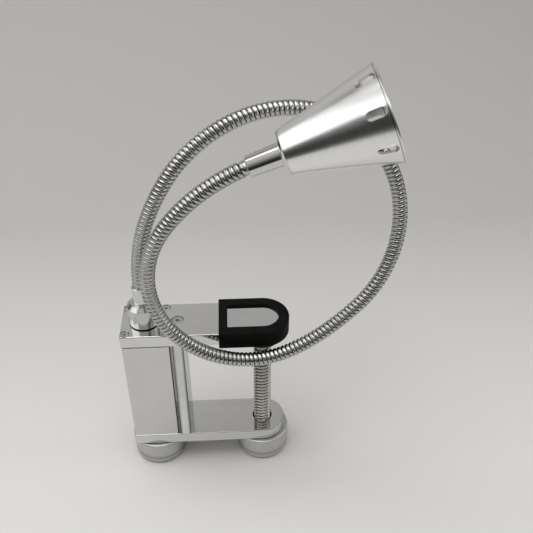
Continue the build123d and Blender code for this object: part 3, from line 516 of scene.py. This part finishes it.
def side_at(along):
    """Smooth sideways course through the joints."""
    n = stretch_at(along)
    slopes = []
    for k in (n, n + 1):
        before, after = max(k - 1, 0), min(k + 1, len(MARKS) - 1)
        flat = k == 0 or k == len(MARKS) - 1
        slopes.append(0 if flat else (knots[after].y - knots[before].y) / (MARKS[after] - MARKS[before]))
    t = min(max((along - MARKS[n]) / LENGTHS[n], 0), 1)
    span = LENGTHS[n]
    return (
        (2 * t**3 - 3 * t**2 + 1) * knots[n].y + (t**3 - 2 * t**2 + t) * span * slopes[0]
        + (3 * t**2 - 2 * t**3) * knots[n + 1].y + (t**3 - t**2) * span * slopes[1]
    )


def neck_point(along):
    """Centreline at a distance along it; straight down below its start."""
    n = stretch_at(along)
    first, heading, radius, _ = ARCS[n]
    if along < 0:
        return first + Vector((0, 0, along))
    angle = (along - MARKS[n]) / radius
    return Vector((
        first.x + radius * (math.sin(heading) - math.sin(heading - angle)),
        side_at(along),
        first.z + radius * (math.cos(heading - angle) - math.cos(heading)),
    ))


def neck_place(along):
    """Centre and two cross directions of the gooseneck at a distance along it."""
    step = 0.2 * MM
    forward = (neck_point(along + step) - neck_point(along - step)).normalized()
    side = Vector((0, 1, 0)) - forward * forward.y
    side.normalize()
    return neck_point(along), side, forward.cross(side)


def ring_profile(count):
    """Radius over one turn: a broad rounded ring between narrow grooves."""
    return [COIL_R - COIL_GROOVE * abs(2 * k / count - 1) ** RING_FLATNESS for k in range(count)]


def whole_turns(along):
    """The nearest whole turn of the coil, so that the skins meet where their profiles do."""
    return round(along / COIL_PITCH) * COIL_PITCH


# each skin but the first and last reaches from one stretch's middle to the next one's, across a joint
middles = [MARKS[n] + LENGTHS[n] / 2 for n in range(len(LENGTHS))]
cuts = [-COIL_HIDDEN] + [whole_turns(m) for m in middles] + [whole_turns(MARKS[-1]) - COIL_PITCH]
neck_bodies = ["clamp_frame"] + [f"neck_{n}" for n in range(2, 9)]
for n in range(len(cuts) - 1):
    first, last = cuts[n], cuts[n + 1]
    piece = helical_skin(
        f"coil_{n + 1}", neck_place, first, last, ring_profile(COIL_SAMPLES), COIL_PITCH,
        COIL_AROUND, coil_chrome,
    )
    if n == 0:
        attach(piece, neck_bodies[0])
        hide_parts("neck_segment_1")
    elif n == len(cuts) - 2:
        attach(piece, neck_bodies[-1])
    else:
        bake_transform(piece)
        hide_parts(f"neck_segment_{n + 1}")

# ball on the gooseneck's end, inside the head's ferrule
end_centre = neck_point(MARKS[-1])
end_forward = (end_centre - neck_point(MARKS[-1] - MM)).normalized()
ball = [
    (END_BALL_R * math.cos(a), END_BALL_R * math.sin(a)) for a in np.linspace(*END_BALL_SPAN, END_BALL_ROWS)
]
end_ball = lathe("coil_end_ball", end_centre, end_forward, ball, COIL_AROUND, coil_chrome)
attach(end_ball, "neck_8")

# ------------------------------------------------------------------ clamp screw
THREAD_PITCH = 2.5 * MM
THREAD_R = 5.0 * MM
THREAD_ROOT = 3.7 * MM
THREAD_LOW = -89 * MM
THREAD_TOP = -7.6 * MM
THREAD_AROUND = 40
THREAD_SHAPE = [0, 0.12, 0.55, 0.86, 0.97, 1, 1, 0.97, 0.86, 0.55, 0.12, 0]     # root 0, crest 1
SCREW_TOP = [       # radius and height
    (3.8 * MM, -12 * MM), (3.9 * MM, -8 * MM), (3.6 * MM, -7.2 * MM),
    (2.3 * MM, -6.8 * MM), (2.3 * MM, -6 * MM),
]


def screw_place(height):
    """Centre and two cross directions of the clamp screw."""
    return Vector((0, 0, height)), Vector((1, 0, 0)), Vector((0, 1, 0))


def thread_profile():
    """Radius over one turn: a rounded trapezoid from root to root."""
    return [THREAD_ROOT + (THREAD_R - THREAD_ROOT) * depth for depth in THREAD_SHAPE]


thread = helical_skin(
    "screw_thread", screw_place, THREAD_LOW, THREAD_TOP - THREAD_PITCH, thread_profile(), THREAD_PITCH,
    THREAD_AROUND, zinc,
)
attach(thread, "clamp_knob")
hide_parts("clamp_screw")
screw_end = lathe("screw_end", Vector((0, 0, 0)), Vector((0, 0, 1)), SCREW_TOP, THREAD_AROUND, zinc)
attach(screw_end, "clamp_knob")

# ------------------------------------------------------------------ stage
FLOOR_FRONT = -600 * MM
BACKDROP_START = 300 * MM
BACKDROP_BEND = 500 * MM
BACKDROP_STEPS = 24
STAGE_HALF = 1800 * MM
STAGE_TOP = 1700 * MM
PAPER_PAINTED_SHADE = (-20 * MM, 260 * MM)        # along Y: painted shade towards the wall
PAPER_PAINTED_LIGHT = (120 * MM, 400 * MM)          # along Z: painted light higher up


def stage_material():
    """Pale paper with painted light and shade: darker from the lamp's place to the wall, and pale again
    higher up.
    """
    material, tree, shader = new_material("paper")
    cloud = maths(tree, "MULTIPLY", noise(tree, object_coords(tree), 3, 4), 0.1)
    back = maths(tree, "ADD", ramp(tree, coordinate(tree, "Y"), 0, 1, *PAPER_PAINTED_SHADE), cloud)
    tree.links.new(tint(tree, back, (0.74, 0.735, 0.72), (0.50, 0.495, 0.485)), shader.inputs["Base Color"])
    darken(tree, shader, ramp(tree, coordinate(tree), 0, 1, *PAPER_PAINTED_LIGHT), (0.78, 0.775, 0.765))
    shader.inputs["Roughness"].default_value = 0.6
    shader.inputs["Specular IOR Level"].default_value = 0.2
    return material


# course of the paper in Y and Z: floor, quarter circle, wall
course = [(FLOOR_FRONT, GROUND), (BACKDROP_START, GROUND)]
for k in range(1, BACKDROP_STEPS + 1):
    a = math.radians(90) * k / BACKDROP_STEPS
    course.append((BACKDROP_START + BACKDROP_BEND * math.sin(a), GROUND + BACKDROP_BEND * (1 - math.cos(a))))
course.append((BACKDROP_START + BACKDROP_BEND, STAGE_TOP))
stage_verts, stage_faces = [], []
for y, z in course:
    stage_verts += [(-STAGE_HALF, y, z), (STAGE_HALF, y, z)]
for k in range(len(course) - 1):
    stage_faces.append((2 * k, 2 * k + 1, 2 * k + 3, 2 * k + 2))
sweep = make_mesh("paper_sweep", stage_verts, stage_faces, stage_material())


def area_light(name, place, target, width, height, power):
    """A white rectangular light that faces its target."""
    light = bpy.data.lights.new(name, "AREA")
    light.shape = "RECTANGLE"
    light.size, light.size_y = width, height
    light.energy = power
    made = bpy.data.objects.new(name, light)
    made.location = place
    made.rotation_euler = (Vector(target) - Vector(place)).to_track_quat("-Z", "Y").to_euler()
    bpy.context.scene.collection.objects.link(made)


# metres and watts
area_light("top_soft", (-0.15, -0.1, 1.05), (0, 0, 0), width=0.9, height=0.6, power=4.9)
area_light("left_soft", (-1.1, -0.1, 0.8), (0, 0, 0.05), width=1.8, height=0.62, power=4.0)
area_light("right_soft", (1.0, 0.0, 0.5), (0, 0, 0.05), width=0.3, height=0.7, power=1.0)

# grey of the room by the height of the direction, 0 straight down and 1 straight up: dark about the horizon
ROOM = [
    (0.0, 0.30), (0.30, 0.22), (0.39, 0.03), (0.54, 0.03),
    (0.62, 0.12), (0.75, 0.35), (0.9, 0.7), (1.0, 0.9),
]
ROOM_TINT = (1, 0.98, 0.95)
world = bpy.data.worlds.new("studio")
bpy.context.scene.world = world
world.use_nodes = True
room_tree = world.node_tree
room_tree.nodes.clear()
room_output = room_tree.nodes.new("ShaderNodeOutputWorld")
room_light = room_tree.nodes.new("ShaderNodeBackground")
room_tree.links.new(room_light.outputs["Background"], room_output.inputs["Surface"])
room_coords = room_tree.nodes.new("ShaderNodeTexCoord")
room_split = room_tree.nodes.new("ShaderNodeSeparateXYZ")
room_tree.links.new(room_coords.outputs["Generated"], room_split.inputs["Vector"])
room_ramp = room_tree.nodes.new("ShaderNodeValToRGB")
room_tree.links.new(ramp(room_tree, room_split.outputs["Z"], 0, 1, -1, 1), room_ramp.inputs["Fac"])
while len(room_ramp.color_ramp.elements) < len(ROOM):     # it starts with two
    room_ramp.color_ramp.elements.new(0.5)
for element, (height, grey) in zip(room_ramp.color_ramp.elements, ROOM):
    element.position = height
    element.color = (grey * ROOM_TINT[0], grey * ROOM_TINT[1], grey * ROOM_TINT[2], 1)
room_tree.links.new(room_ramp.outputs["Color"], room_light.inputs["Color"])
bpy.context.scene.view_settings.view_transform = "Standard"

# ------------------------------------------------------------------ camera
YAW = math.radians(3.367)
PITCH = math.radians(37.165)
ROLL = math.radians(0.291)
CAMERA_AT = (-14.24 * MM, -279.39 * MM, 254.45 * MM)
LENS = 46.51
SENSOR = 36
forward = Vector((math.sin(YAW) * math.cos(PITCH), math.cos(YAW) * math.cos(PITCH), -math.sin(PITCH)))
level = Vector((math.cos(YAW), -math.sin(YAW), 0))
above = level.cross(forward)
cam_x = level * math.cos(ROLL) + above * math.sin(ROLL)
cam_y = above * math.cos(ROLL) - level * math.sin(ROLL)
camera_data = bpy.data.cameras.new("camera")
camera_data.sensor_width = SENSOR
camera_data.lens = LENS
camera_data.clip_start = 0.01
camera = bpy.data.objects.new("camera", camera_data)
camera.matrix_world = Matrix((
    (cam_x.x, cam_y.x, -forward.x, CAMERA_AT[0]),
    (cam_x.y, cam_y.y, -forward.y, CAMERA_AT[1]),
    (cam_x.z, cam_y.z, -forward.z, CAMERA_AT[2]),
    (0, 0, 0, 1),
))
bpy.context.scene.collection.objects.link(camera)
bpy.context.scene.camera = camera
